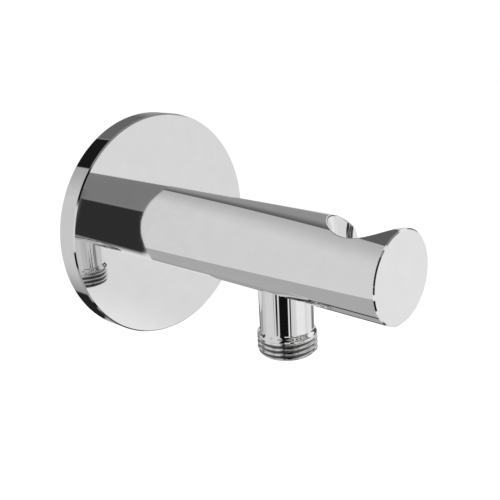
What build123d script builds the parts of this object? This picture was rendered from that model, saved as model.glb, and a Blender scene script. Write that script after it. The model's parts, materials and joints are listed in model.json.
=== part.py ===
from build123d import *
from math import sqrt
import os

# Wall outlet elbow with a handset holder, in millimetres.
# The wall is the plane Y = 0 and the arm stands out of it along -Y. +Z is up, and +X is to the right of
# a person who faces the wall. The origin is on the arm's axis, in the plane of the wall.

# Water way and the walls built up around it
water_way_diameter = 10.0
nipple_wall = 3.95
spigot_wall = 3.0
arm_shoulder = 3.0

# Lengths along the arm
outlet_from_wall = 68.0
seat_land = 18.1
seat_end_wall = 1.5
arm_edge = 0.4

# Wall flange and its seal
flange_diameter = 85.0
flange_depth = 8.3
flange_wall = 2.5
flange_edge = 0.5
hub_wall = 3.4
hub_depth = 3.0
gasket_width = 6.0

# Handset seat: a cone with an open mouth on the +X side, and the lip it leaves beside the mouth
seat_top_diameter = 26.4
seat_bottom_diameter = 22.2
seat_mouth_width = 22.0
seat_lip = 2.7
seat_edge = 0.5

# Half-inch pipe threads, drawn as plain cylinders of their outer diameter
thread_diameter = 20.955
thread_lead = 1.0
wall_thread_length = 15.5
outlet_thread_length = 5.8

# Wall nipple: its seal rings, the set screw's groove and the tip, counted from the wall outwards
nipple_thread_front = 0.5
ring_from_wall = 10.5
ring_pitch = 4.5
screw_from_ring = 6.0
tip_from_screw = 6.0
tip_chamfer = 0.8
hex_depth = 8.0
screw_groove_width = 5.4
screw_groove_depth = 1.2

# Set screw
screw_diameter = 5.0
screw_length = 6.0
screw_hex = 2.5
screw_hex_depth = 2.6
screw_point = 0.8
hex_sides = 6

# Outlet nipple
neck_relief = 1.08
neck_engagement = 1.2
flare_height = 2.1
outlet_spigot_wall = 2.5
outlet_wall = 1.9
outlet_floor = 4.1
washer_thickness = 1.2

# Non-return valve
valve_recess = 0.5
housing_wall = 1.2
seat_depth = 6.0
seat_width = 2.0
valve_ring_depth = 3.1
seal_thickness = 0.9
poppet_thickness = 1.6
poppet_flow_gap = 0.8
nose_diameter = 6.0
nose_lip = 0.5
nose_height = 1.2
stem_diameter = 3.0
stem_shoulder = 0.5
stem_below_shoulder = 4.5
valve_travel = 3.0
spring_length = 7.5
spring_diameter = 5.5
spring_wire = 0.5
spring_turns = 5
hub_length = 4.85
hub_diameter = 6.8
guide_ring_height = 3.5
guide_ring_wall = 1.2
rib_count = 4
rib_width = 1.2

# Clearances, how far a cut runs past a surface, and how close counts as the same place
socket_clearance = 0.05
spigot_clearance = 0.1
neck_clearance = 0.05
valve_clearance = 0.1
thread_clearance = 0.05
stem_clearance = 0.075
snap_clearance = 0.05
contact_gap = 0.05
ring_gap = 0.02
tip_gap = 0.5
cut_margin = 1.0
same_place = 0.01

# Seal rings: the thickness of each ring in its groove
flange_ring_section = 1.5
nipple_ring_section = 1.7
valve_ring_section = 1.7
groove_to_ring = 1.35

# Radii worked out from the water way outwards
water_radius = water_way_diameter / 2
nipple_radius = water_radius + nipple_wall
socket_radius = nipple_radius + socket_clearance
spigot_radius = socket_radius + spigot_wall
arm_radius = spigot_radius + arm_shoulder
hole_radius = spigot_radius + spigot_clearance
flange_radius = flange_diameter / 2
thread_radius = thread_diameter / 2
neck_radius = thread_radius - neck_relief

# Handset seat: how far its axis lies beside the arm's, and its distance from the arm's end
seat_rim_radius = seat_top_diameter / 2
seat_offset = arm_radius - seat_lip - sqrt(seat_rim_radius**2 - (seat_mouth_width / 2) ** 2)
end_from_seat = seat_rim_radius + seat_end_wall

# Places along the arm, as distances from the wall
seat_from_wall = outlet_from_wall + seat_land + seat_rim_radius
arm_projection = seat_from_wall + end_from_seat
plate_back = flange_depth - flange_wall
hub_back = plate_back - hub_depth
flange_ring_place = (hub_back + flange_depth) / 2
screw_from_wall = ring_from_wall + ring_pitch + screw_from_ring
nipple_tip = screw_from_wall + tip_from_screw
socket_end = nipple_tip + tip_gap
water_way_end = outlet_from_wall + water_radius

# Heights on the outlet's axis
neck_top = neck_engagement - sqrt(arm_radius**2 - neck_radius**2)
washer_top = neck_top + washer_thickness
outlet_top = -water_radius - tip_gap
valve_shoulder = neck_top - outlet_floor
valve_top = valve_shoulder - contact_gap
valve_seat = valve_top - seat_depth
seal_top = valve_seat - contact_gap
disc_top = seal_top - seal_thickness
disc_bottom = disc_top - poppet_thickness
hub_top = disc_bottom - spring_length
stem_step = hub_top + valve_travel + contact_gap
stem_bottom = stem_step - stem_below_shoulder
valve_bottom = hub_top - hub_length
outlet_bottom = valve_bottom - valve_recess
thread_bottom = outlet_bottom + thread_lead
thread_top = thread_bottom + outlet_thread_length
flare_top = thread_top + flare_height

# Radii inside the outlet
outlet_spigot_radius = water_radius + outlet_spigot_wall
valve_bore_radius = neck_radius - outlet_wall
housing_radius = valve_bore_radius - valve_clearance
chamber_radius = housing_radius - housing_wall
seat_bore_radius = chamber_radius - seat_width
disc_radius = chamber_radius - poppet_flow_gap
nose_radius = nose_diameter / 2
stem_radius = stem_diameter / 2

# Working planes: along the arm (distance from the wall, radius), and upright ones through the outlet's and
# the seat's axes (radius, height). The arm's plane leans to the -X side, so the seam of the turned faces
# runs clear of the seat, the screw and the crossing of the two water ways.
arm_plane = Plane(origin=(0, 0, 0), x_dir=(0, -1, 0), z_dir=(-1, 0, -2))
outlet_plane = Plane(origin=(0, -outlet_from_wall, 0), x_dir=(1, 0, 0), z_dir=(0, -1, 0))
seat_plane = Plane(origin=(seat_offset, -seat_from_wall, 0), x_dir=(1, 0, 0), z_dir=(0, -1, 0))
outlet_axis = Axis((0, -outlet_from_wall, 0), (0, 0, 1))
seat_axis = Axis((seat_offset, -seat_from_wall, 0), (0, 0, 1))

os.makedirs("parts", exist_ok=True)


def seat_radius(height):
    """Radius of the handset seat's cone at a height above the arm's axis."""
    middle = (seat_top_diameter + seat_bottom_diameter) / 4
    slope = (seat_top_diameter - seat_bottom_diameter) / (4 * arm_radius)
    return middle + slope * height


def is_seat_rim(edge):
    """True for the edges where the seat and its mouth come out through the arm's round surface."""
    middle = edge.position_at(0.5)
    on_surface = abs(sqrt(middle.X**2 + middle.Z**2) - arm_radius) < same_place
    beside_seat = abs(middle.Y + seat_from_wall) < end_from_seat - arm_edge - same_place
    return on_surface and beside_seat and edge.geom_type != GeomType.LINE


# Arm: turned outside and bored from the back, then drilled from below and milled for the handset
beyond = arm_radius + cut_margin
with BuildPart() as arm_body:
    with BuildSketch(arm_plane):
        with BuildLine():
            groove = flange_ring_section * groove_to_ring / 2
            Polyline(
                (hub_back, socket_radius),
                (hub_back, spigot_radius),
                (flange_ring_place - groove, spigot_radius),
                (flange_ring_place - groove, hole_radius - flange_ring_section),
                (flange_ring_place + groove, hole_radius - flange_ring_section),
                (flange_ring_place + groove, spigot_radius),
                (flange_depth, spigot_radius),
                (flange_depth, arm_radius),
                (arm_projection - arm_edge, arm_radius),
                (arm_projection, arm_radius - arm_edge),
                (arm_projection, 0),
                (water_way_end, 0),
                (water_way_end, water_radius),
                (socket_end, water_radius),
                (socket_end, socket_radius),
                close=True,
            )
        make_face()
    revolve(axis=Axis.Y)
    with BuildSketch(outlet_plane):
        with BuildLine():
            Polyline(
                (0, 0),
                (water_radius, 0),
                (water_radius, outlet_top + tip_gap),
                (outlet_spigot_radius + thread_clearance, outlet_top + tip_gap),
                (outlet_spigot_radius + thread_clearance, washer_top),
                (neck_radius + neck_clearance, washer_top),
                (neck_radius + neck_clearance, -beyond),
                (0, -beyond),
                close=True,
            )
        make_face()
    revolve(axis=outlet_axis, mode=Mode.SUBTRACT)
    with BuildSketch(Plane.XY.offset(-beyond)):
        with Locations((0, -screw_from_wall)):
            Circle(screw_diameter / 2 + thread_clearance)
    extrude(amount=beyond - water_radius, mode=Mode.SUBTRACT)
    with BuildSketch(seat_plane):
        with BuildLine():
            Polyline(
                (0, -beyond),
                (seat_radius(-beyond), -beyond),
                (seat_radius(beyond), beyond),
                (0, beyond),
                close=True,
            )
        make_face()
    revolve(axis=seat_axis, mode=Mode.SUBTRACT)
    with BuildSketch(Plane.XY.offset(-beyond)):
        with Locations((seat_offset, -seat_from_wall)):
            Rectangle(beyond, seat_mouth_width, align=(Align.MIN, Align.CENTER))
    extrude(amount=2 * beyond, mode=Mode.SUBTRACT)
    fillet(arm_body.edges().filter_by(is_seat_rim), radius=seat_edge)
arm_body.part.label = "arm_body"
export_step(arm_body.part, "parts/arm_body.step")

# Wall flange: a dished disc with a hub at the back that sits on the arm's spigot
with BuildPart() as wall_flange:
    with BuildSketch(arm_plane):
        with BuildLine():
            Polyline(
                (0, flange_radius - flange_wall),
                (0, flange_radius),
                (flange_depth - flange_edge, flange_radius),
                (flange_depth, flange_radius - flange_edge),
                (flange_depth, hole_radius),
                (hub_back, hole_radius),
                (hub_back, hole_radius + hub_wall),
                (plate_back, hole_radius + hub_wall),
                (plate_back, flange_radius - flange_wall),
                close=True,
            )
        make_face()
    revolve(axis=Axis.Y)
wall_flange.part.label = "wall_flange"
export_step(wall_flange.part, "parts/wall_flange.step")

# Soft seal ring inside the flange, from its plate to the wall
with BuildPart() as flange_gasket:
    with BuildSketch(Plane.XZ):
        Circle(flange_radius - flange_wall - contact_gap)
        Circle(flange_radius - flange_wall - contact_gap - gasket_width, mode=Mode.SUBTRACT)
    extrude(amount=plate_back)
flange_gasket.part.label = "flange_gasket"
export_step(flange_gasket.part, "parts/flange_gasket.step")

# Wall nipple: pipe thread behind the wall's face, spigot with two ring grooves and the set screw's groove
with BuildPart() as wall_nipple:
    with BuildSketch(arm_plane):
        with BuildLine():
            ring_floor = socket_radius - nipple_ring_section
            ring_half = nipple_ring_section * groove_to_ring / 2
            ring_places = (ring_from_wall, ring_from_wall + ring_pitch)
            grooves = [(place, ring_half, ring_floor) for place in ring_places]
            grooves.append((screw_from_wall, screw_groove_width / 2, nipple_radius - screw_groove_depth))
            outline = [
                (-wall_thread_length, water_radius),
                (-wall_thread_length, thread_radius - thread_lead),
                (-wall_thread_length + thread_lead, thread_radius),
                (nipple_thread_front, thread_radius),
                (nipple_thread_front + thread_radius - nipple_radius, nipple_radius),
            ]
            for place, half, floor in grooves:
                outline.append((place - half, nipple_radius))
                outline.append((place - half, floor))
                outline.append((place + half, floor))
                outline.append((place + half, nipple_radius))
            outline.append((nipple_tip - tip_chamfer, nipple_radius))
            outline.append((nipple_tip, nipple_radius - tip_chamfer))
            outline.append((nipple_tip, water_radius))
            Polyline(*outline, close=True)
        make_face()
    revolve(axis=Axis.Y)
    with BuildSketch(Plane.XZ.offset(nipple_tip - hex_depth)):
        RegularPolygon(water_radius, hex_sides, major_radius=False)
    extrude(amount=hex_depth, mode=Mode.SUBTRACT)
wall_nipple.part.label = "wall_nipple"
export_step(wall_nipple.part, "parts/wall_nipple.step")

# Seal rings around the arm's axis: name, distance from the wall, groove floor, outer wall
arm_rings = (
    ("flange_ring", flange_ring_place, hole_radius - flange_ring_section, hole_radius),
    ("nipple_ring_rear", ring_from_wall, socket_radius - nipple_ring_section, socket_radius),
    ("nipple_ring_front", ring_from_wall + ring_pitch, socket_radius - nipple_ring_section, socket_radius),
)
for ring_name, place, inner, outer in arm_rings:
    with BuildPart() as arm_ring:
        with BuildSketch(arm_plane):
            with Locations((place, (inner + outer) / 2)):
                Circle((outer - inner) / 2 - ring_gap)
        revolve(axis=Axis.Y)
    arm_ring.part.label = ring_name
    export_step(arm_ring.part, "parts/" + ring_name + ".step")

# Set screw: hexagon socket below, chamfered point above in the wall nipple's groove
screw_top = -(nipple_radius - screw_groove_depth) - contact_gap
with BuildPart() as set_screw:
    with BuildSketch(Plane.XY.offset(screw_top - screw_length)):
        with Locations((0, -screw_from_wall)):
            Circle(screw_diameter / 2)
    extrude(amount=screw_length)
    chamfer(set_screw.faces().sort_by(Axis.Z)[-1].edges(), length=screw_point)
    with BuildSketch(Plane.XY.offset(screw_top - screw_length)):
        with Locations((0, -screw_from_wall)):
            RegularPolygon(screw_hex / 2, hex_sides, major_radius=False)
    extrude(amount=screw_hex_depth, mode=Mode.SUBTRACT)
set_screw.part.label = "set_screw"
export_step(set_screw.part, "parts/set_screw.step")

# Outlet nipple: spigot in the arm, plain neck, flare, hose thread, and the valve's bore from below
with BuildPart() as outlet_nipple:
    with BuildSketch(outlet_plane):
        with BuildLine():
            Polyline(
                (water_radius, outlet_top),
                (outlet_spigot_radius, outlet_top),
                (outlet_spigot_radius, neck_top),
                (neck_radius, neck_top),
                (neck_radius, flare_top),
                (thread_radius, thread_top),
                (thread_radius, thread_bottom),
                (thread_radius - thread_lead, outlet_bottom),
                (valve_bore_radius, outlet_bottom),
                (valve_bore_radius, valve_shoulder),
                (water_radius, valve_shoulder),
                close=True,
            )
        make_face()
    revolve(axis=outlet_axis)
outlet_nipple.part.label = "outlet_nipple"
export_step(outlet_nipple.part, "parts/outlet_nipple.step")

# Flat seal between the arm and the top of the outlet nipple's neck
with BuildPart() as outlet_washer:
    with BuildSketch(Plane.XY.offset(neck_top)):
        with Locations((0, -outlet_from_wall)):
            Circle(neck_radius)
            Circle(outlet_spigot_radius + contact_gap, mode=Mode.SUBTRACT)
    extrude(amount=washer_thickness)
outlet_washer.part.label = "outlet_washer"
export_step(outlet_washer.part, "parts/outlet_washer.step")

# Valve housing: shell with the seat at its top and a groove for the seal ring
valve_ring_floor = valve_bore_radius - valve_ring_section
valve_ring_place = valve_top - valve_ring_depth
with BuildPart() as valve_housing:
    with BuildSketch(outlet_plane):
        with BuildLine():
            half = valve_ring_section * groove_to_ring / 2
            Polyline(
                (seat_bore_radius, valve_top),
                (housing_radius, valve_top),
                (housing_radius, valve_ring_place + half),
                (valve_ring_floor, valve_ring_place + half),
                (valve_ring_floor, valve_ring_place - half),
                (housing_radius, valve_ring_place - half),
                (housing_radius, valve_bottom),
                (chamber_radius, valve_bottom),
                (chamber_radius, valve_seat),
                (seat_bore_radius, valve_seat),
                close=True,
            )
        make_face()
    revolve(axis=outlet_axis)
valve_housing.part.label = "valve_housing"
export_step(valve_housing.part, "parts/valve_housing.step")

# Seal ring around the valve housing
with BuildPart() as valve_ring:
    with BuildSketch(outlet_plane):
        with Locations(((valve_ring_floor + valve_bore_radius) / 2, valve_ring_place)):
            Circle(valve_ring_section / 2 - ring_gap)
    revolve(axis=outlet_axis)
valve_ring.part.label = "valve_ring"
export_step(valve_ring.part, "parts/valve_ring.step")

# Valve poppet: nose that holds the seal, disc, and a stepped stem whose step stops it on the hub
with BuildPart() as valve_poppet:
    with BuildSketch(outlet_plane):
        with BuildLine():
            lip_radius = nose_radius + nose_lip
            lip_bottom = seal_top + contact_gap
            step_radius = stem_radius + stem_shoulder
            Polyline(
                (0, seal_top + nose_height),
                (nose_radius - nose_lip, seal_top + nose_height),
                (lip_radius, lip_bottom + nose_lip),
                (lip_radius, lip_bottom),
                (nose_radius, lip_bottom),
                (nose_radius, disc_top),
                (disc_radius, disc_top),
                (disc_radius, disc_bottom),
                (step_radius, disc_bottom),
                (step_radius, stem_step),
                (stem_radius, stem_step),
                (stem_radius, stem_bottom),
                (0, stem_bottom),
                close=True,
            )
        make_face()
    revolve(axis=outlet_axis)
valve_poppet.part.label = "valve_poppet"
export_step(valve_poppet.part, "parts/valve_poppet.step")

# Soft seal washer on the poppet
with BuildPart() as valve_seal:
    with BuildSketch(Plane.XY.offset(disc_top)):
        with Locations((0, -outlet_from_wall)):
            Circle(disc_radius)
            Circle(nose_radius + contact_gap, mode=Mode.SUBTRACT)
    extrude(amount=seal_thickness)
valve_seal.part.label = "valve_seal"
export_step(valve_seal.part, "parts/valve_seal.step")

# Valve guide: hub, ring and ribs, snapped into the lower end of the housing
guide_radius = chamber_radius - snap_clearance
guide_ring_inner = guide_radius - guide_ring_wall
rib_length = guide_ring_inner + guide_ring_wall / 2
with BuildPart() as valve_guide:
    with BuildSketch(Plane.XY.offset(valve_bottom)):
        with Locations((0, -outlet_from_wall)):
            Circle(guide_radius)
            Circle(guide_ring_inner, mode=Mode.SUBTRACT)
            with PolarLocations(0, rib_count):
                Rectangle(rib_length, rib_width, align=(Align.MIN, Align.CENTER))
    extrude(amount=guide_ring_height)
    with BuildSketch(Plane.XY.offset(valve_bottom)):
        with Locations((0, -outlet_from_wall)):
            Circle(hub_diameter / 2)
    extrude(amount=hub_length)
    with BuildSketch(Plane.XY.offset(valve_bottom)):
        with Locations((0, -outlet_from_wall)):
            Circle(stem_radius + stem_clearance)
    extrude(amount=hub_length, mode=Mode.SUBTRACT)
valve_guide.part.label = "valve_guide"
export_step(valve_guide.part, "parts/valve_guide.step")

# Compression spring between the hub and the poppet's disc
spring_bottom = hub_top + spring_wire / 2 + contact_gap
spring_height = spring_length - spring_wire - 2 * contact_gap
spring_radius = spring_diameter / 2
with BuildPart() as valve_spring:
    with BuildLine() as spring_path:
        spring_centre = (0, -outlet_from_wall, spring_bottom)
        Helix(spring_height / spring_turns, spring_height, spring_radius, center=spring_centre)
    with BuildSketch(Plane(origin=spring_path.line @ 0, z_dir=spring_path.line % 0)):
        Circle(spring_wire / 2)
    sweep(path=spring_path.line, is_frenet=True)
valve_spring.part.label = "valve_spring"
export_step(valve_spring.part, "parts/valve_spring.step")
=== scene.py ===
"""Looks of the wall outlet elbow: chrome arm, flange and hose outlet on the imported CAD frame.

The wall is the plane Y = 0, the arm stands out along -Y and +Z is up. Lengths are in millimetres until MM
turns them into Blender's metres.
"""

import json
import math

import bmesh
import bpy
import numpy as np
from mathutils import Matrix, Vector


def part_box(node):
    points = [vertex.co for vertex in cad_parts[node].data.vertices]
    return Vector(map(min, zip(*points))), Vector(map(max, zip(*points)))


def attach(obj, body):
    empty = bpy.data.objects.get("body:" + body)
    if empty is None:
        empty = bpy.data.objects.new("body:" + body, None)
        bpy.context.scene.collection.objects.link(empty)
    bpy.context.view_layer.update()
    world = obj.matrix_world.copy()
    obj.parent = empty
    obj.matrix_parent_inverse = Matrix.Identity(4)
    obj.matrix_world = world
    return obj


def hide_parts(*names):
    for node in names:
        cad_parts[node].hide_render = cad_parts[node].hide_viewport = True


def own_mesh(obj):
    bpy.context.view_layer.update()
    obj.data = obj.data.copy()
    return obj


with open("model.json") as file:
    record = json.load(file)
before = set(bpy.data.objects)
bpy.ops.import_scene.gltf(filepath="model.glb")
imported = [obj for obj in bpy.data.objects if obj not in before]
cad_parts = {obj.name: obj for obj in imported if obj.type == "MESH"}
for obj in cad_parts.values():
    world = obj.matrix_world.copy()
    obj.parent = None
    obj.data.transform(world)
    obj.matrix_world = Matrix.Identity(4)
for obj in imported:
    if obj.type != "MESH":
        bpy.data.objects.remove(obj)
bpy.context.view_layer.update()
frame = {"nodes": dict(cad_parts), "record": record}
scene = bpy.context.scene
scene.view_settings.view_transform = "Standard"
MM = 0.001

# Pipe thread G1/2: outer radius, pitch and depth, and how it starts and ends
THREAD_RADIUS = 20.955 / 2
THREAD_PITCH = 1.814
THREAD_DEPTH = 1.162
THREAD_LEAD = 1.0
THREAD_RUN_OUT = 0.9

# Outlet nipple: its ends and the top of its neck are the frame's, the rest is as in the part's source
OUTLET_FROM_WALL = 68.0
WATER_RADIUS = 5.0
OUTLET_SPIGOT_WALL = 2.5
NECK_RELIEF = 1.08
VALVE_BORE_WALL = 1.9
VALVE_SHOULDER_DEPTH = 4.1
OUTLET_THREAD_LENGTH = 5.8
OUTLET_THREAD_PHASE = 0.15
FLARE_HEIGHT = 2.1
SPIGOT_RADIUS = WATER_RADIUS + OUTLET_SPIGOT_WALL
NECK_RADIUS = THREAD_RADIUS - NECK_RELIEF
VALVE_BORE_RADIUS = NECK_RADIUS - VALVE_BORE_WALL
outlet_low, outlet_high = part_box("outlet_nipple")
OUTLET_TOP = outlet_high.z / MM
OUTLET_BOTTOM = outlet_low.z / MM
NECK_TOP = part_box("outlet_washer")[0].z / MM
VALVE_SHOULDER = NECK_TOP - VALVE_SHOULDER_DEPTH
FLARE_BOTTOM = OUTLET_BOTTOM + THREAD_LEAD + OUTLET_THREAD_LENGTH
FLARE_TOP = FLARE_BOTTOM + FLARE_HEIGHT

# Wall nipple: its ends are the frame's, the rest is as in the part's source. Places are distances from the
# wall. Two grooves hold seal rings and one takes the set screw; each has a place, half its width and its
# floor's radius.
NIPPLE_WALL = 3.95
NIPPLE_THREAD_FRONT = 0.5
NIPPLE_TIP_CHAMFER = 0.8
KEY_DEPTH = 8.0
KEY_SIDES = 6
RING_GROOVE = (1.1475, 7.3)
SCREW_GROOVE = (2.7, 7.75)
NIPPLE_GROOVES = ((10.5, *RING_GROOVE), (15.0, *RING_GROOVE), (21.0, *SCREW_GROOVE))
NIPPLE_RADIUS = WATER_RADIUS + NIPPLE_WALL
nipple_low, nipple_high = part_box("wall_nipple")
NIPPLE_BACK = -nipple_high.y / MM
NIPPLE_TIP = -nipple_low.y / MM

# Valve spring: its wire's centre line, from the guide's hub up to the poppet
SPRING_RADIUS = 2.75
SPRING_WIRE = 0.5
SPRING_FOOT = 0.3
SPRING_HEIGHT = 6.9
SPRING_TURNS = 5
SPRING_CLOSED_TURN = 0.9
HUB_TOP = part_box("valve_guide")[1].z / MM

# How finely the turned pieces and the spring are drawn, and from which angle in degrees a corner stays sharp
ROUND_SIDES = 192
ROWS_PER_PITCH = 32
FLARE_ROWS = 12
SPRING_STEPS = 240
WIRE_SIDES = 12
SHARP_CORNER = 36
angles = np.arange(ROUND_SIDES) * (2 * math.pi / ROUND_SIDES)

# Widths of the finishes' patterns, and the height of the chrome's waves
CHROME_HAZE = 6.0
CHROME_WAVE = 16.0
CHROME_WAVE_HEIGHT = 0.001
BRASS_PATCH = 5.0
BRASS_FEED_DRAWN = 0.35
RUBBER_BLOOM = 9.0
RUBBER_SKIN = 0.4
ACETAL_CLOUD = 4.0
ACETAL_GRAIN = 0.25
FLOOR_SPECKLE = 40.0

# How far a steel's roughness strays to either side
STEEL_ROUGHNESS_SPREAD = 0.06

# Grooves of the chromed thread, tinted grey as painted shade and made duller for their thinner plating, in
# shares
# of its depth: where the painted shade and dulling begin, where they are full, and beyond which a surface is
# the bore's
GROOVE_SHADE_AND_DULL_FROM = 0.3
GROOVE_SHADE_AND_DULL_AT = 0.8
GROOVE_LIMIT = 1.1

# Blender's wave texture draws one band in this many units at a scale of 1
WAVE_BAND = 2 * math.pi / 20


def linear(hex_colour):
    """Linear RGBA of an sRGB colour written as six hex digits."""
    shares = [int(hex_colour[start : start + 2], 16) / 255 for start in (0, 2, 4)]
    return (*[s / 12.92 if s <= 0.04045 else ((s + 0.055) / 1.055) ** 2.4 for s in shares], 1.0)


def add_node(tree, kind, inputs=(), **settings):
    """Adds a node, sets its properties, and gives its sockets values or other nodes' outputs."""
    node = tree.nodes.new(kind)
    for setting, value in settings.items():
        setattr(node, setting, value)
    for socket, value in dict(inputs).items():
        if isinstance(value, bpy.types.NodeSocket):
            tree.links.new(value, node.inputs[socket])
        else:
            node.inputs[socket].default_value = value
    return node


def start_finish(name):
    """A bare material, its node tree, and the coordinates in metres that its patterns use."""
    finish = bpy.data.materials.new(name)
    finish.use_nodes = True
    finish.node_tree.nodes.clear()
    return finish, finish.node_tree, add_node(finish.node_tree, "ShaderNodeTexCoord").outputs["Object"]


def groove_shade_and_dull_share(tree, place):
    """How deep a point lies in the outlet's thread, the mask of the grooves' painted shade and dulling: 1 in
    the grooves, 0 on the crests and elsewhere.
    """
    from_axis = add_node(
        tree,
        "ShaderNodeVectorMath",
        {0: place, 1: (1.0, 1.0, 0.0), 2: (0.0, OUTLET_FROM_WALL * MM, 0.0)},
        operation="MULTIPLY_ADD",
    )
    radius = add_node(tree, "ShaderNodeVectorMath", {0: from_axis.outputs[0]}, operation="LENGTH")
    depth = add_node(
        tree,
        "ShaderNodeMapRange",
        {
            "Value": radius.outputs["Value"],
            "From Min": (THREAD_RADIUS - GROOVE_SHADE_AND_DULL_FROM * THREAD_DEPTH) * MM,
            "From Max": (THREAD_RADIUS - GROOVE_SHADE_AND_DULL_AT * THREAD_DEPTH) * MM,
        },
    )
    height = add_node(tree, "ShaderNodeSeparateXYZ", {0: place})
    below = add_node(
        tree,
        "ShaderNodeMath",
        {0: height.outputs[2], 1: FLARE_BOTTOM * MM},
        operation="LESS_THAN",
    )
    outside = add_node(
        tree,
        "ShaderNodeMath",
        {0: radius.outputs["Value"], 1: (THREAD_RADIUS - GROOVE_LIMIT * THREAD_DEPTH) * MM},
        operation="GREATER_THAN",
    )
    thread = add_node(
        tree,
        "ShaderNodeMath",
        {0: below.outputs[0], 1: outside.outputs[0]},
        operation="MULTIPLY",
    )
    groove = add_node(
        tree,
        "ShaderNodeMath",
        {0: depth.outputs[0], 1: thread.outputs[0]},
        operation="MULTIPLY",
    )
    return groove.outputs[0]


def chrome_plate(name, threaded):
    """Bright chrome on buffed brass, a near-mirror: the buffing leaves waves too shallow to see except where
    they bend a reflection, and a thin haze that softens it here and there. In a thread the grooves are
    tinted grey as painted shade, and they are made dull where the plating reaches badly into them."""
    finish, tree, place = start_finish(name)
    haze = add_node(
        tree,
        "ShaderNodeTexNoise",
        {"Vector": place, "Scale": 1 / (CHROME_HAZE * MM), "Detail": 4.0},
    )
    waves = add_node(
        tree,
        "ShaderNodeTexNoise",
        {"Vector": place, "Scale": 1 / (CHROME_WAVE * MM), "Detail": 1.0},
    )
    tint = add_node(
        tree,
        "ShaderNodeMix",
        {0: haze.outputs[0], 6: linear("e6e6e6"), 7: linear("eeeeee")},
        data_type="RGBA",
    )
    gloss = add_node(
        tree,
        "ShaderNodeMapRange",
        {"Value": haze.outputs[0], "From Min": 0.3, "From Max": 0.7, "To Min": 0.012, "To Max": 0.02},
    )
    surface = add_node(
        tree,
        "ShaderNodeBump",
        {"Height": waves.outputs[0], "Strength": 1.0, "Distance": CHROME_WAVE_HEIGHT * MM},
    )
    if threaded:
        # Painted shade: the thread's grooves are tinted grey where they would lie in shade. Their dullness
        # stands for the thinner plating there.
        groove = groove_shade_and_dull_share(tree, place)
        tint = add_node(
            tree,
            "ShaderNodeMix",
            {0: groove, 6: tint.outputs[2], 7: linear("868684")},
            data_type="RGBA",
        )
        gloss = add_node(
            tree,
            "ShaderNodeMapRange",
            {"Value": groove, "To Min": gloss.outputs[0], "To Max": 0.25},
        )
    shader = add_node(
        tree,
        "ShaderNodeBsdfPrincipled",
        {
            "Base Color": tint.outputs[2],
            "Metallic": 1.0,
            "Roughness": gloss.outputs[0],
            "Normal": surface.outputs["Normal"],
        },
    )
    add_node(tree, "ShaderNodeOutputMaterial", {"Surface": shader.outputs["BSDF"]})
    return finish


def turned_brass():
    """Unplated brass straight from the lathe: warm yellow, with the tool's fine rings around the axis and
    duller patches where it was handled."""
    finish, tree, place = start_finish("brass_turned")
    patches = add_node(
        tree,
        "ShaderNodeTexNoise",
        {"Vector": place, "Scale": 1 / (BRASS_PATCH * MM), "Detail": 5.0},
    )
    # The tool's feed is about 0.1 mm a turn; it is drawn coarser so that it shows.
    rings = add_node(
        tree,
        "ShaderNodeTexWave",
        {"Vector": place, "Scale": WAVE_BAND / (BRASS_FEED_DRAWN * MM), "Distortion": 0.6, "Detail": 1.0},
        wave_type="BANDS",
        bands_direction="Y",
    )
    tint = add_node(
        tree,
        "ShaderNodeMix",
        {0: patches.outputs[0], 6: linear("c9a566"), 7: linear("e3c88f")},
        data_type="RGBA",
    )
    gloss = add_node(
        tree,
        "ShaderNodeMapRange",
        {"Value": patches.outputs[0], "From Min": 0.3, "From Max": 0.7, "To Min": 0.34, "To Max": 0.22},
    )
    surface = add_node(
        tree,
        "ShaderNodeBump",
        {"Height": rings.outputs[1], "Strength": 0.35, "Distance": 0.01 * MM},
    )
    shader = add_node(
        tree,
        "ShaderNodeBsdfPrincipled",
        {
            "Base Color": tint.outputs[2],
            "Metallic": 1.0,
            "Roughness": gloss.outputs[0],
            "Normal": surface.outputs["Normal"],
        },
    )
    add_node(tree, "ShaderNodeOutputMaterial", {"Surface": shader.outputs["BSDF"]})
    return finish


def stainless_steel(name, dark, light, roughness, grain):
    """Stainless steel, cold-headed or drawn: grey, with a satin grain of the given width in millimetres."""
    finish, tree, place = start_finish(name)
    streaks = add_node(
        tree,
        "ShaderNodeTexNoise",
        {"Vector": place, "Scale": 1 / (grain * MM), "Detail": 3.0},
    )
    tint = add_node(
        tree,
        "ShaderNodeMix",
        {0: streaks.outputs[0], 6: linear(dark), 7: linear(light)},
        data_type="RGBA",
    )
    gloss = add_node(
        tree,
        "ShaderNodeMapRange",
        {
            "Value": streaks.outputs[0],
            "To Min": roughness - STEEL_ROUGHNESS_SPREAD,
            "To Max": roughness + STEEL_ROUGHNESS_SPREAD,
        },
    )
    shader = add_node(
        tree,
        "ShaderNodeBsdfPrincipled",
        {"Base Color": tint.outputs[2], "Metallic": 1.0, "Roughness": gloss.outputs[0]},
    )
    add_node(tree, "ShaderNodeOutputMaterial", {"Surface": shader.outputs["BSDF"]})
    return finish


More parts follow.
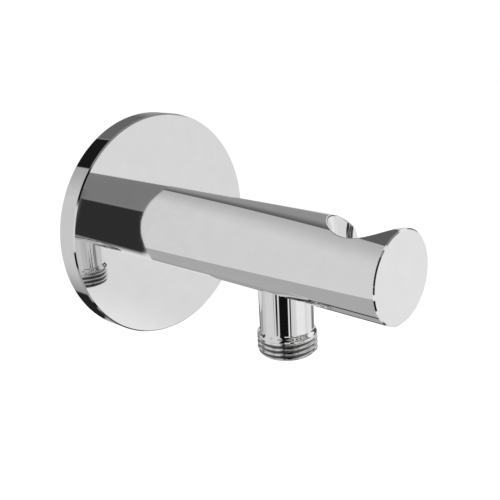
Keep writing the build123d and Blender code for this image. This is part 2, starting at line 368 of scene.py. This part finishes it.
def seal_rubber():
    """EPDM rubber, compression moulded: nearly black and matt, with a fine skin that breaks up the light and
    a grey bloom in places."""
    finish, tree, place = start_finish("epdm_rubber_moulded")
    bloom = add_node(
        tree,
        "ShaderNodeTexNoise",
        {"Vector": place, "Scale": 1 / (RUBBER_BLOOM * MM), "Detail": 4.0},
    )
    skin = add_node(
        tree,
        "ShaderNodeTexNoise",
        {"Vector": place, "Scale": 1 / (RUBBER_SKIN * MM), "Detail": 2.0},
    )
    tint = add_node(
        tree,
        "ShaderNodeMix",
        {0: bloom.outputs[0], 6: linear("1c1c1e"), 7: linear("343537")},
        data_type="RGBA",
    )
    gloss = add_node(
        tree,
        "ShaderNodeMapRange",
        {"Value": bloom.outputs[0], "To Min": 0.5, "To Max": 0.72},
    )
    surface = add_node(
        tree,
        "ShaderNodeBump",
        {"Height": skin.outputs[0], "Strength": 0.6, "Distance": 0.02 * MM},
    )
    shader = add_node(
        tree,
        "ShaderNodeBsdfPrincipled",
        {
            "Base Color": tint.outputs[2],
            "Roughness": gloss.outputs[0],
            "IOR": 1.48,
            "Normal": surface.outputs["Normal"],
        },
    )
    add_node(tree, "ShaderNodeOutputMaterial", {"Surface": shader.outputs["BSDF"]})
    return finish


def valve_acetal():
    """Acetal, injection moulded: milky white and waxy, with the mould's faint eroded grain."""
    finish, tree, place = start_finish("acetal_moulded")
    cloud = add_node(
        tree,
        "ShaderNodeTexNoise",
        {"Vector": place, "Scale": 1 / (ACETAL_CLOUD * MM), "Detail": 3.0},
    )
    grain = add_node(
        tree,
        "ShaderNodeTexNoise",
        {"Vector": place, "Scale": 1 / (ACETAL_GRAIN * MM), "Detail": 1.0},
    )
    tint = add_node(
        tree,
        "ShaderNodeMix",
        {0: cloud.outputs[0], 6: linear("dedfd9"), 7: linear("ebebe6")},
        data_type="RGBA",
    )
    gloss = add_node(
        tree,
        "ShaderNodeMapRange",
        {"Value": cloud.outputs[0], "To Min": 0.32, "To Max": 0.46},
    )
    surface = add_node(
        tree,
        "ShaderNodeBump",
        {"Height": grain.outputs[0], "Strength": 0.4, "Distance": 0.01 * MM},
    )
    shader = add_node(
        tree,
        "ShaderNodeBsdfPrincipled",
        {
            "Base Color": tint.outputs[2],
            "Roughness": gloss.outputs[0],
            "IOR": 1.48,
            "Normal": surface.outputs["Normal"],
        },
    )
    add_node(tree, "ShaderNodeOutputMaterial", {"Surface": shader.outputs["BSDF"]})
    return finish


def plain_row(radius, along):
    """One ring of a turned piece, round and square to its axis."""
    return np.full(ROUND_SIDES, radius), along


def key_row(along):
    """One ring of the hexagon socket in the wall nipple's tip."""
    side = 2 * math.pi / KEY_SIDES
    return WATER_RADIUS / np.cos(np.mod(angles, side) - side / 2), along


def thread_rows(plain_end, open_end, phase):
    """Rings of a right-hand pipe thread, from the run-out at the plain end to the open end's chamfer."""
    count = round(abs(open_end - plain_end) / THREAD_PITCH * ROWS_PER_PITCH)
    rows = []
    for along in np.linspace(plain_end, open_end, count):
        grown = min(1.0, abs(along - plain_end) / THREAD_RUN_OUT)
        turn = along / THREAD_PITCH - angles / (2 * math.pi) + phase
        groove = THREAD_DEPTH * grown * (0.5 - 0.5 * np.cos(2 * math.pi * turn))
        chamfer = max(0.0, THREAD_LEAD - abs(open_end - along))
        rows.append((THREAD_RADIUS - np.maximum(groove, chamfer), along))
    return rows


def tube_faces(start, next_start, sides):
    """Faces between two rings of corners, each given by the number of its first corner."""
    for side in range(sides):
        after = (side + 1) % sides
        yield start + side, start + after, next_start + after, next_start + side


def solid_piece(name, corners, faces):
    """An object with outward faces, smooth except at its real corners."""
    mesh = bpy.data.meshes.new(name)
    mesh.from_pydata(corners, [], faces)
    shell = bmesh.new()
    shell.from_mesh(mesh)
    bmesh.ops.recalc_face_normals(shell, faces=shell.faces)
    shell.to_mesh(mesh)
    shell.free()
    mesh.shade_smooth()
    mesh.set_sharp_from_angle(angle=math.radians(SHARP_CORNER))
    piece = bpy.data.objects.new(name, mesh)
    scene.collection.objects.link(piece)
    return piece


def turned_piece(name, rows, lie):
    """A closed turned mesh from rings of corners; lie places the lathe's Z axis in the frame."""
    corners = [
        lie @ Vector((r * math.cos(a) * MM, r * math.sin(a) * MM, along * MM))
        for radii, along in rows
        for r, a in zip(radii, angles)
    ]
    faces = []
    for row in range(len(rows)):
        next_row = (row + 1) % len(rows)
        faces.extend(tube_faces(row * ROUND_SIDES, next_row * ROUND_SIDES, ROUND_SIDES))
    return solid_piece(name, corners, faces)


def threaded_outlet():
    """Outlet nipple with its hose thread: spigot, neck, rounded flare, thread, and the valve's bore."""
    flare = []
    for share in np.linspace(0, 1, FLARE_ROWS, endpoint=False):
        swell = (THREAD_RADIUS - NECK_RADIUS) * (0.5 - 0.5 * math.cos(math.pi * share))
        flare.append(plain_row(NECK_RADIUS + swell, FLARE_TOP - share * FLARE_HEIGHT))
    rows = [
        plain_row(WATER_RADIUS, OUTLET_TOP),
        plain_row(SPIGOT_RADIUS, OUTLET_TOP),
        plain_row(SPIGOT_RADIUS, NECK_TOP),
        plain_row(NECK_RADIUS, NECK_TOP),
        *flare,
        *thread_rows(FLARE_BOTTOM, OUTLET_BOTTOM, OUTLET_THREAD_PHASE),
        plain_row(VALVE_BORE_RADIUS, OUTLET_BOTTOM),
        plain_row(VALVE_BORE_RADIUS, VALVE_SHOULDER),
        plain_row(WATER_RADIUS, VALVE_SHOULDER),
    ]
    return turned_piece("outlet_nipple_threaded", rows, Matrix.Translation((0, -OUTLET_FROM_WALL * MM, 0)))


def threaded_wall_nipple():
    """Wall nipple with its pipe thread. Its places count from the wall outwards, and along is minus that."""
    rows = [plain_row(WATER_RADIUS, -NIPPLE_BACK)]
    rows += reversed(thread_rows(-NIPPLE_THREAD_FRONT, -NIPPLE_BACK, 0.0))
    rows.append(plain_row(NIPPLE_RADIUS, -(NIPPLE_THREAD_FRONT + THREAD_RADIUS - NIPPLE_RADIUS)))
    for middle, half, floor in NIPPLE_GROOVES:
        rows.append(plain_row(NIPPLE_RADIUS, half - middle))
        rows.append(plain_row(floor, half - middle))
        rows.append(plain_row(floor, -half - middle))
        rows.append(plain_row(NIPPLE_RADIUS, -half - middle))
    rows.append(plain_row(NIPPLE_RADIUS, NIPPLE_TIP_CHAMFER - NIPPLE_TIP))
    rows.append(plain_row(NIPPLE_RADIUS - NIPPLE_TIP_CHAMFER, -NIPPLE_TIP))
    rows.append(key_row(-NIPPLE_TIP))
    rows.append(key_row(KEY_DEPTH - NIPPLE_TIP))
    rows.append(plain_row(WATER_RADIUS, KEY_DEPTH - NIPPLE_TIP))
    along_y = Matrix(((0, 1, 0, 0), (0, 0, 1, 0), (1, 0, 0, 0), (0, 0, 0, 1)))
    return turned_piece("wall_nipple_threaded", rows, along_y)


def coiled_spring():
    """Valve spring of round wire with a closed coil at each end."""
    turns = np.linspace(0, SPRING_TURNS, SPRING_STEPS + 1)
    closed_rise = SPRING_CLOSED_TURN * SPRING_WIRE
    rise = np.interp(
        turns,
        (0, SPRING_CLOSED_TURN, SPRING_TURNS - SPRING_CLOSED_TURN, SPRING_TURNS),
        (0, closed_rise, SPRING_HEIGHT - closed_rise, SPRING_HEIGHT),
    )
    slope = np.gradient(rise, turns) / (2 * math.pi)
    corners = []
    for turn, height, climb in zip(turns, rise, slope):
        swing = 2 * math.pi * turn
        outward = Vector((math.cos(swing), math.sin(swing), 0))
        onward = Vector((-math.sin(swing) * SPRING_RADIUS, math.cos(swing) * SPRING_RADIUS, climb))
        across = onward.normalized().cross(outward)
        middle = outward * SPRING_RADIUS + Vector((0, -OUTLET_FROM_WALL, HUB_TOP + SPRING_FOOT + height))
        for side in range(WIRE_SIDES):
            around = 2 * math.pi * side / WIRE_SIDES
            point = middle + (outward * math.cos(around) + across * math.sin(around)) * (SPRING_WIRE / 2)
            corners.append(point * MM)
    last_ring = SPRING_STEPS * WIRE_SIDES
    faces = [tuple(range(WIRE_SIDES)), tuple(range(last_ring, last_ring + WIRE_SIDES))]
    for start in range(0, last_ring, WIRE_SIDES):
        faces.extend(tube_faces(start, start + WIRE_SIDES, WIRE_SIDES))
    return solid_piece("valve_spring_wire", corners, faces)


# Finishes on the CAD nodes, by the record's slots
finishes = {
    "chrome_plated_brass": chrome_plate("chrome_plate_polished", threaded=False),
    "bare_brass": turned_brass(),
    "screw_steel": stainless_steel("stainless_screw_satin", "7c7d80", "a4a5a7", roughness=0.34, grain=1.2),
    "spring_steel": stainless_steel("stainless_wire_drawn", "8f9092", "b9babc", roughness=0.26, grain=0.6),
    "seal_rubber": seal_rubber(),
    "valve_plastic": valve_acetal(),
}
for subpart in frame["record"]["subparts"]:
    node_mesh = frame["nodes"][subpart["node"]].data
    node_mesh.materials.clear()
    node_mesh.materials.append(finishes[subpart["material_slot"]])

# Pieces that stand for CAD nodes: two with real threads, and a spring with a mesh of its own
# Chrome for the outlet's thread, with painted shade in its grooves
thread_chrome = chrome_plate("chrome_plate_threaded_groove_shade", threaded=True)
for piece, node, finish_slot, finish in (
    (threaded_outlet(), "outlet_nipple", "chrome_plated_brass", thread_chrome),
    (threaded_wall_nipple(), "wall_nipple", "bare_brass", finishes["bare_brass"]),
    (coiled_spring(), "valve_spring", "spring_steel", finishes["spring_steel"]),
):
    piece.data.materials.append(finish)
    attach(piece, "fitting")
    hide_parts(node)
    if node == "valve_spring":
        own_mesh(piece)

# Studio as the chrome sees it. The arm and flange are turned about one axis, so each card is placed by two
# angles in degrees: round that axis, from 0 straight up to 90 on the +X side, and away from it, from 0
# straight out of the wall to 180 into the wall. Then come the widths of its soft edges, how far it leans
# round the axis for each degree away from LEAN_FROM, and its tone. Later cards hide earlier ones.
STUDIO_BACKDROP = "e1e1e1"
LEAN_FROM = 130
STUDIO_CARDS = (
    ("wall_shade", (-8, 92), (112, 139.7), 66, 1, 3.05, "bfbfbf"),
    ("right_wall", (24.5, 92), (112, 150), 1.5, 4, 3.05, "626262"),
    ("right_wall_low", (38.5, 97), (123.5, 150), 28, 3, 3.05, "999999"),
    ("right_wall_front", (110.5, 130), (78, 116), 3, 4, 0, "808080"),
    ("floor_back", (-215, -144), (100, 139.7), 2, 0.4, -1.25, "b5b5b5"),
    ("floor_right", (126, 162), (100, 139.7), 10, 0.4, 0, "a8a8a8"),
    ("floor_edge", (118, 139), (112, 127), 4, 1, 0, "505050"),
    ("floor_seam", (165, 171), (112, 126.8), 2, 1, 0, "383838"),
    ("floor_below", (155, 202), (74, 100), 8, 6, 0, "505050"),
    ("behind_left", (-140, -20), (139.7, 180), 20, 0.4, 0, "d6d6d6"),
    ("behind_low", (-205, -150), (139.7, 180), 50, 0.4, 0, "9c9c9c"),
    ("behind_high", (-45, 10), (139.7, 180), 40, 0.4, 0, "b3b3b3"),
    ("behind_strip_high", (-26.5, 13), (139.7, 147), 2, 0.4, 0, "1c1c1c"),
    ("behind_corner", (13, 60), (139.7, 147), 3, 0.4, 0, "6b6b6b"),
    ("behind_strip_low", (124, 190), (139.7, 153), 4, 0.4, 0, "242424"),
    ("room_front", (-44, 86), (-10, 95), 10, 8, 0, "8d8d8d"),
    ("softbox_right", (50, 100), (48, 82), 8, 4, 0, "fbfbfb"),
    ("table_front", (92, 215), (-10, 76), 8, 6, 0, "e9e9e9"),
    ("table_glow", (124, 200), (14, 62), 6, 6, 0, "fafafa"),
    ("table_right", (104, 128), (49.5, 78), 4, 3, 0, "f3f3f3"),
    ("table_gap", (96, 107), (64, 90), 2, 3, 0, "f8f8f8"),
    ("right_gap", (77, 95), (63, 104), 2, 3, 0, "525252"),
    ("straight_ahead", (-190, 190), (-12, 12), 4, 6, 0, "bdbdbd"),
    ("table_shade", (120, 141), (12.5, 20), 3, 1.5, 0, "303030"),
    ("ahead_shade", (134, 184), (8.6, 13.2), 16, 2.4, 0, "303030"),
    ("camera_low", (-148, -90), (46, 76), 3, 2, 0.27, "141414"),
    ("camera_middle", (-114, -60), (60.5, 80), 6, 2, 0, "141414"),
    ("camera_high", (-67, -32), (47, 80), 8, 4, 0, "141414"),
    ("camera_strip_low", (-321, -309), (62, 73), 3, 1.5, -2.8, "a4a4a4"),
    ("camera_stand", (-118, -108), (86.5, 94), 4, 1.5, 0, "181818"),
    ("camera_front", (-178, -43.5), (35.8, 41.5), 8, 0.8, 0, "363636"),
    ("camera_foot", (-192, -150), (35.8, 41.5), 36, 0.8, 0, "363636"),
    ("camera_top", (-116, -12), (28, 35.8), 6, 1.5, 0, "303030"),
)

# The arm's root mirrors the flange, which mirrors a ring of directions round the arm's axis that little else
# sees. The ring repeats what lies behind the flange and makes up for the second reflection, so that the arm
# runs light up to its root. Its limits are the parts of a direction along its own axis and towards its gap,
# at the lower right, where the flange's own face would see it.
RING_AXIS = (0.013, -1.0, -0.0054)
RING_MIDDLE = 0.7225
RING_HALF = 0.0272
RING_GAP_WAY = (0.866, 0.0, -0.5)
RING_GAP_LIMIT = 0.62
RING_GAIN = 0.2

# Strength of the even light on all that doesn't gleam, and the lamp: its side and place in metres, its watts
EVEN_LIGHT = 0.78
LAMP_SIDE = 1.4
LAMP_PLACE = (-0.35, -0.6, 1.2)
LAMP_POWER = 5.0

# Floor: half its side and its level in metres, and a glow that only the camera sees, which lifts it to the
# white behind it
FLOOR_HALF = 4.0
FLOOR_LEVEL = -0.31
FLOOR_GLOW = 0.25

# Camera as fitted to the photograph: angles in degrees, aim, distance, lens and film in millimetres, and the
# nearest and furthest that it sees in metres
CAMERA_AZIMUTH = -46.446
CAMERA_ELEVATION = 17.809
CAMERA_ROLL = -3.044
CAMERA_DISTANCE = 268.149
CAMERA_AIM = Vector((0, -52.261, -2.419))
CAMERA_LENS = 55.052
CAMERA_FILM = 36
CAMERA_NEAR = 0.01
CAMERA_FAR = 50


def ring_share(tree, towards):
    """1 for directions in the ring round the arm's axis, 0 for others."""
    outward = add_node(tree, "ShaderNodeVectorMath", {0: towards, 1: RING_AXIS}, operation="DOT_PRODUCT")
    sideways = add_node(tree, "ShaderNodeVectorMath", {0: towards, 1: RING_GAP_WAY}, operation="DOT_PRODUCT")
    band = add_node(
        tree,
        "ShaderNodeMath",
        {0: outward.outputs["Value"], 1: RING_MIDDLE, 2: RING_HALF},
        operation="COMPARE",
    )
    closed = add_node(
        tree,
        "ShaderNodeMath",
        {0: sideways.outputs["Value"], 1: RING_GAP_LIMIT},
        operation="LESS_THAN",
    )
    ring = add_node(tree, "ShaderNodeMath", {0: band.outputs[0], 1: closed.outputs[0]}, operation="MULTIPLY")
    return ring.outputs[0]


def soft_band(tree, angle, limits, edge):
    """1 where an angle lies between two limits in degrees, falling to 0 across a soft edge."""
    middle = math.radians(sum(limits) / 2)
    half = math.radians((limits[1] - limits[0]) / 2)
    soft = math.radians(edge / 2)
    off = add_node(tree, "ShaderNodeMath", {0: angle, 1: middle}, operation="SUBTRACT")
    off = add_node(tree, "ShaderNodeMath", {0: off.outputs[0], 1: -math.pi, 2: math.pi}, operation="WRAP")
    off = add_node(tree, "ShaderNodeMath", {0: off.outputs[0]}, operation="ABSOLUTE")
    band = add_node(
        tree,
        "ShaderNodeMapRange",
        {
            "Value": off.outputs[0],
            "From Min": half - soft,
            "From Max": half + soft,
            "To Min": 1.0,
            "To Max": 0.0,
        },
        interpolation_type="SMOOTHSTEP",
    )
    return band.outputs[0]


def card_tones(tree, around, away):
    """The backdrop's tone with every card laid over it, for a direction's two angles."""
    further = add_node(tree, "ShaderNodeMath", {0: away, 1: math.radians(LEAN_FROM)}, operation="SUBTRACT")
    tone = linear(STUDIO_BACKDROP)
    for card, round_limits, away_limits, round_edge, away_edge, lean, colour in STUDIO_CARDS:
        leaned = add_node(
            tree,
            "ShaderNodeMath",
            {0: further.outputs[0], 1: -lean, 2: around},
            operation="MULTIPLY_ADD",
        )
        round_cover = soft_band(tree, leaned.outputs[0], round_limits, round_edge)
        away_cover = soft_band(tree, away, away_limits, away_edge)
        cover = add_node(tree, "ShaderNodeMath", {0: round_cover, 1: away_cover}, operation="MULTIPLY")
        laid = add_node(
            tree,
            "ShaderNodeMix",
            {0: cover.outputs[0], 6: tone, 7: linear(colour)},
            data_type="RGBA",
            label=card,
        )
        tone = laid.outputs[2]
    return tone


def studio_world():
    """White for the camera, cards for what gleams, and an even soft light for the rest."""
    world = bpy.data.worlds.new("studio")
    world.use_nodes = True
    tree = world.node_tree
    tree.nodes.clear()
    ray = add_node(tree, "ShaderNodeLightPath")
    towards = add_node(tree, "ShaderNodeTexCoord").outputs["Generated"]
    way = add_node(tree, "ShaderNodeSeparateXYZ", {0: towards})
    ring = ring_share(tree, towards)
    turned = add_node(tree, "ShaderNodeMath", {0: ring, 1: 2.0, 2: -1.0}, operation="MULTIPLY_ADD")
    ahead = add_node(tree, "ShaderNodeMath", {0: way.outputs[1], 1: turned.outputs[0]}, operation="MULTIPLY")
    away = add_node(tree, "ShaderNodeMath", {0: ahead.outputs[0]}, operation="ARCCOSINE")
    around = add_node(tree, "ShaderNodeMath", {0: way.outputs[0], 1: way.outputs[2]}, operation="ARCTAN2")
    tone = card_tones(tree, around.outputs[0], away.outputs[0])
    level = add_node(tree, "ShaderNodeMath", {0: ring, 1: RING_GAIN, 2: 1.0}, operation="MULTIPLY_ADD")
    cards = add_node(tree, "ShaderNodeBackground", {"Color": tone, "Strength": level.outputs[0]})
    white = add_node(tree, "ShaderNodeBackground", {"Color": linear("ffffff")})
    even = add_node(tree, "ShaderNodeBackground", {"Color": linear("ffffff"), "Strength": EVEN_LIGHT})
    mirrored = add_node(
        tree,
        "ShaderNodeMath",
        {0: ray.outputs["Is Glossy Ray"], 1: ray.outputs["Is Transmission Ray"]},
        operation="MAXIMUM",
    )
    lit = add_node(
        tree,
        "ShaderNodeMixShader",
        {0: mirrored.outputs[0], 1: even.outputs[0], 2: cards.outputs[0]},
    )
    seen = add_node(
        tree,
        "ShaderNodeMixShader",
        {0: ray.outputs["Is Camera Ray"], 1: lit.outputs[0], 2: white.outputs[0]},
    )
    add_node(tree, "ShaderNodeOutputWorld", {"Surface": seen.outputs[0]})
    scene.world = world


def pale_floor():
    """A plain white matt floor well below the outlet; the chrome sees the studio's table in its place."""
    finish, tree, place = start_finish("floor_paint_matt")
    speckle = add_node(
        tree,
        "ShaderNodeTexNoise",
        {"Vector": place, "Scale": 1 / (FLOOR_SPECKLE * MM), "Detail": 2.0},
    )
    tint = add_node(
        tree,
        "ShaderNodeMix",
        {0: speckle.outputs[0], 6: linear("fdfdfd"), 7: linear("ffffff")},
        data_type="RGBA",
    )
    paint = add_node(
        tree,
        "ShaderNodeBsdfPrincipled",
        {"Base Color": tint.outputs[2], "Roughness": 0.9, "Specular IOR Level": 0.1},
    )
    ray = add_node(tree, "ShaderNodeLightPath")
    lift = add_node(
        tree,
        "ShaderNodeMath",
        {0: ray.outputs["Is Camera Ray"], 1: FLOOR_GLOW},
        operation="MULTIPLY",
    )
    glow = add_node(tree, "ShaderNodeEmission", {"Strength": lift.outputs[0]})
    both = add_node(tree, "ShaderNodeAddShader", {0: paint.outputs["BSDF"], 1: glow.outputs[0]})
    add_node(tree, "ShaderNodeOutputMaterial", {"Surface": both.outputs[0]})
    corners = [
        (-FLOOR_HALF, -FLOOR_HALF, FLOOR_LEVEL),
        (FLOOR_HALF, -FLOOR_HALF, FLOOR_LEVEL),
        (FLOOR_HALF, FLOOR_HALF, FLOOR_LEVEL),
        (-FLOOR_HALF, FLOOR_HALF, FLOOR_LEVEL),
    ]
    mesh = bpy.data.meshes.new("floor")
    mesh.from_pydata(corners, [], [(0, 1, 2, 3)])
    mesh.materials.append(finish)
    floor = bpy.data.objects.new("floor", mesh)
    floor.visible_glossy = False
    scene.collection.objects.link(floor)


def soft_lamp():
    """One broad lamp above and in front, kept out of the chrome, where the cards do its work."""
    data = bpy.data.lights.new("soft_lamp", "AREA")
    data.shape = "SQUARE"
    data.size = LAMP_SIDE
    data.energy = LAMP_POWER
    lamp = bpy.data.objects.new("soft_lamp", data)
    lamp.location = LAMP_PLACE
    lamp.rotation_euler = (-lamp.location).to_track_quat("-Z", "Y").to_euler()
    lamp.visible_glossy = False
    scene.collection.objects.link(lamp)


def photo_camera():
    """Places the camera at the photograph's view."""
    azimuth = math.radians(CAMERA_AZIMUTH)
    elevation = math.radians(CAMERA_ELEVATION)
    roll = math.radians(CAMERA_ROLL)
    back = Vector(
        (
            math.sin(azimuth) * math.cos(elevation),
            -math.cos(azimuth) * math.cos(elevation),
            math.sin(elevation),
        )
    )
    level = Vector((math.cos(azimuth), math.sin(azimuth), 0))
    upright = back.cross(level)
    right = level * math.cos(roll) + upright * math.sin(roll)
    up = upright * math.cos(roll) - level * math.sin(roll)
    data = bpy.data.cameras.new("photo_camera")
    data.sensor_width = CAMERA_FILM
    data.lens = CAMERA_LENS
    data.clip_start = CAMERA_NEAR
    data.clip_end = CAMERA_FAR
    camera = bpy.data.objects.new("photo_camera", data)
    turn = Matrix((right, up, back)).transposed().to_4x4()
    camera.matrix_world = Matrix.Translation((CAMERA_AIM + back * CAMERA_DISTANCE) * MM) @ turn
    scene.collection.objects.link(camera)
    scene.camera = camera


studio_world()
pale_floor()
soft_lamp()
photo_camera()
